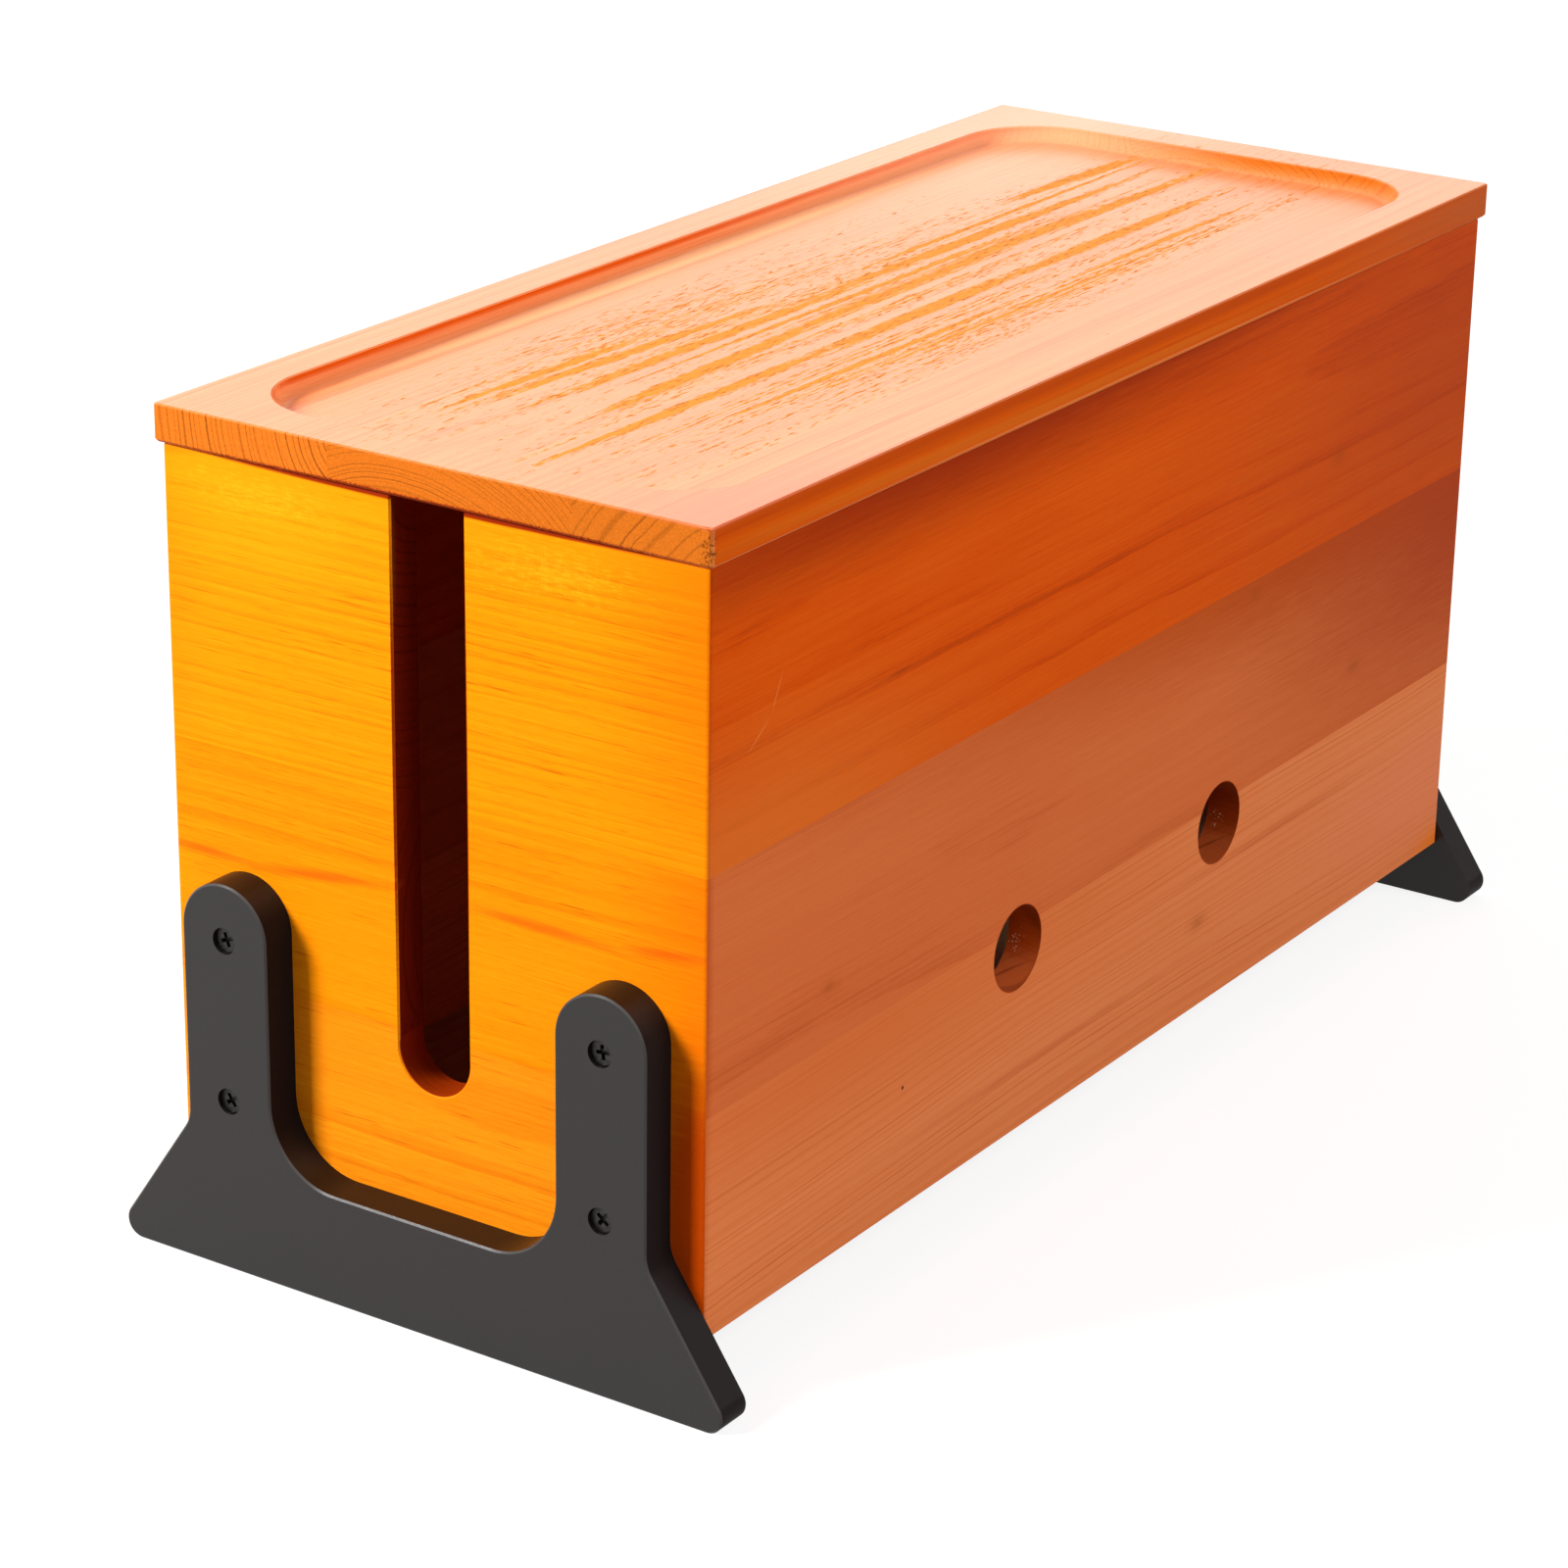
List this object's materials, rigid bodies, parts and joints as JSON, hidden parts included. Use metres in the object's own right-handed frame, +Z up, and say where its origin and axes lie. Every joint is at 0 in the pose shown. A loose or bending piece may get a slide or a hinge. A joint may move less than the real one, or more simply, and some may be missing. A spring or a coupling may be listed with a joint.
{
  "type": "cable management box",
  "caption": "Long wooden box on two black end plates, with an open cable slot in each end, cable holes low in the front and a lift-off lid with a routed tray.",
  "frame": {"origin": "on the surface that the feet stand on, under the middle of the box", "axes": "+X along the box from the left foot to the right foot, -Y out of the front wall with the two cable holes, +Z up"},
  "size_m": [0.421, 0.19, 0.228],
  "materials": {
    "stained_pine": "orange-stained and clear-lacquered pine, satin",
    "panel_plywood": "bare sanded plywood",
    "black_lacquer": "black paint on wood, satin",
    "screw_steel": "black-coated steel, satin"
  },
  "bodies": {
    "box": {"bottom_panel": "panel_plywood", "front_lower_stave": "stained_pine", "front_middle_stave": "stained_pine", "front_upper_stave": "stained_pine", "left_end_lower_stave": "stained_pine", "left_end_middle_front_stave": "stained_pine", "left_end_middle_rear_stave": "stained_pine", "left_end_upper_front_stave": "stained_pine", "left_end_upper_rear_stave": "stained_pine", "left_foot": "black_lacquer", "left_foot_screw_1": "screw_steel", "left_foot_screw_2": "screw_steel", "left_foot_screw_3": "screw_steel", "left_foot_screw_4": "screw_steel", "rear_lower_stave": "stained_pine", "rear_middle_stave": "stained_pine", "rear_upper_stave": "stained_pine", "right_end_lower_stave": "stained_pine", "right_end_middle_front_stave": "stained_pine", "right_end_middle_rear_stave": "stained_pine", "right_end_upper_front_stave": "stained_pine", "right_end_upper_rear_stave": "stained_pine", "right_foot": "black_lacquer", "right_foot_screw_1": "screw_steel", "right_foot_screw_2": "screw_steel", "right_foot_screw_3": "screw_steel", "right_foot_screw_4": "screw_steel"},
    "lid": {"lid_front_cleat": "stained_pine", "lid_front_stave": "stained_pine", "lid_middle_stave": "stained_pine", "lid_rear_cleat": "stained_pine", "lid_rear_stave": "stained_pine"}
  },
  "joints": [
    {"name": "lid_lift", "type": "slide", "parent": "box", "child": "lid", "axis": [0, 0, 1], "range_m": [0, 0.15]}
  ]
}
